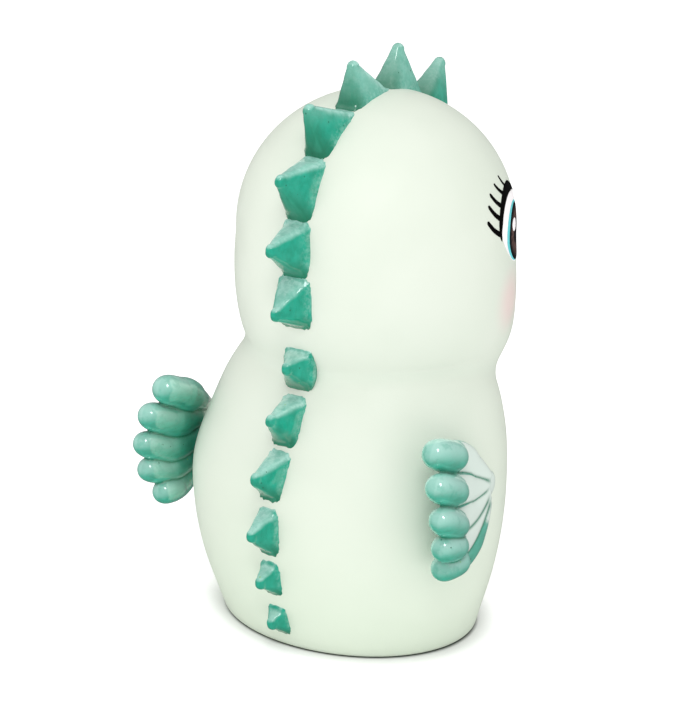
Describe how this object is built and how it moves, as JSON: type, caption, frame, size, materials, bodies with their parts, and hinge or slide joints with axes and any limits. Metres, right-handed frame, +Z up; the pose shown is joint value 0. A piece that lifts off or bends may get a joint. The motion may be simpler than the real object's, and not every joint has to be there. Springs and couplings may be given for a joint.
{
  "type": "vinyl art toy",
  "caption": "Free-standing hollow soft-vinyl sea-creature figure: rounded head and body, a crest of spikes up the back, two turning fan-shaped fins, and a base stopper.",
  "frame": {"origin": "middle of the base, on the surface that the figure stands on", "axes": "+Z up, the face looks along -Y, the crest is on the +Y side, +X is the figure's own left side"},
  "size_m": [0.1184, 0.1119, 0.1811],
  "materials": {
    "body_vinyl": "satin pale mint soft vinyl",
    "crest_vinyl": "glossy teal paint over vinyl",
    "fin_vinyl": "glossy teal paint fading to mint at the root",
    "stopper_rubber": "matt pale grey soft rubber"
  },
  "bodies": {
    "figure": {"body_shell": "body_vinyl", "crest_spike_01": "crest_vinyl", "crest_spike_02": "crest_vinyl", "crest_spike_03": "crest_vinyl", "crest_spike_04": "crest_vinyl", "crest_spike_05": "crest_vinyl", "crest_spike_06": "crest_vinyl", "crest_spike_07": "crest_vinyl", "crest_spike_08": "crest_vinyl", "crest_spike_09": "crest_vinyl", "crest_spike_10": "crest_vinyl", "crest_spike_11": "crest_vinyl", "crest_spike_12": "crest_vinyl", "crest_spike_13": "crest_vinyl"},
    "left_fin_body": {"left_fin": "fin_vinyl"},
    "right_fin_body": {"right_fin": "fin_vinyl"},
    "stopper_body": {"base_stopper": "stopper_rubber"}
  },
  "joints": [
    {"name": "left_fin_swing", "type": "hinge", "parent": "figure", "child": "left_fin_body", "pos_m": [0.0511, 0.0042, 0.0552], "axis": [1, 0, 0], "range_deg": [-25, 45]},
    {"name": "right_fin_swing", "type": "hinge", "parent": "figure", "child": "right_fin_body", "pos_m": [-0.0511, 0.0042, 0.0552], "axis": [1, 0, 0], "range_deg": [-25, 45]},
    {"name": "stopper_pull", "type": "slide", "parent": "figure", "child": "stopper_body", "axis": [0, 0, -1], "range_m": [0, 0.02]}
  ]
}
